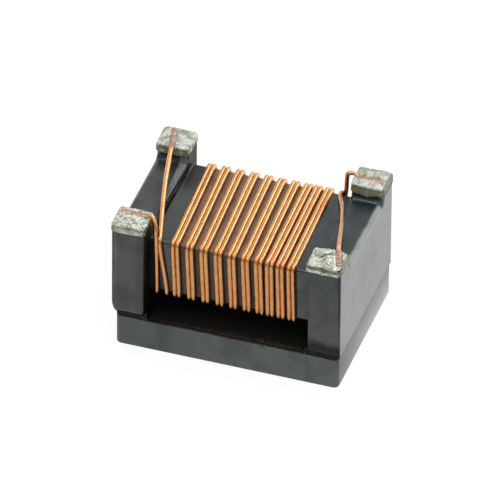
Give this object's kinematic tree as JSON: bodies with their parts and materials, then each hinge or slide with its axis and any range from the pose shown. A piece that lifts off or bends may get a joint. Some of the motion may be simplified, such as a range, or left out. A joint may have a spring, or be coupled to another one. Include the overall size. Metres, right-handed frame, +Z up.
{
  "type": "common mode choke",
  "caption": "Surface-mount common mode choke: a black ferrite drum core wound with side-by-side enamelled copper wires, tinned terminals on its posts and a glued flat ferrite plate.",
  "frame": {"origin": "centre of the part's footprint, on the underside of the ferrite plate", "axes": "+X along the bar that carries the winding, +Z up from the plate to the terminals, +Y towards the terminals where the right-hand ends of the second wire lie"},
  "size_m": [0.0044, 0.0032, 0.0029],
  "materials": {
    "ferrite": "fired and tumbled ferrite, dark grey, matt to satin",
    "glue": "cured epoxy, black and glossy",
    "tin": "dipped tin, dull silver, lumpy, with a trace of flux",
    "enamelled_copper": "copper under clear amber enamel, satin"
  },
  "bodies": {
    "root": {"drum_core": "ferrite", "cover_plate": "ferrite", "adhesive_left": "glue", "adhesive_right": "glue", "terminal_front_left": "tin", "terminal_front_right": "tin", "terminal_back_left": "tin", "terminal_back_right": "tin", "winding_a": "enamelled_copper", "winding_b": "enamelled_copper"}
  },
  "joints": []
}
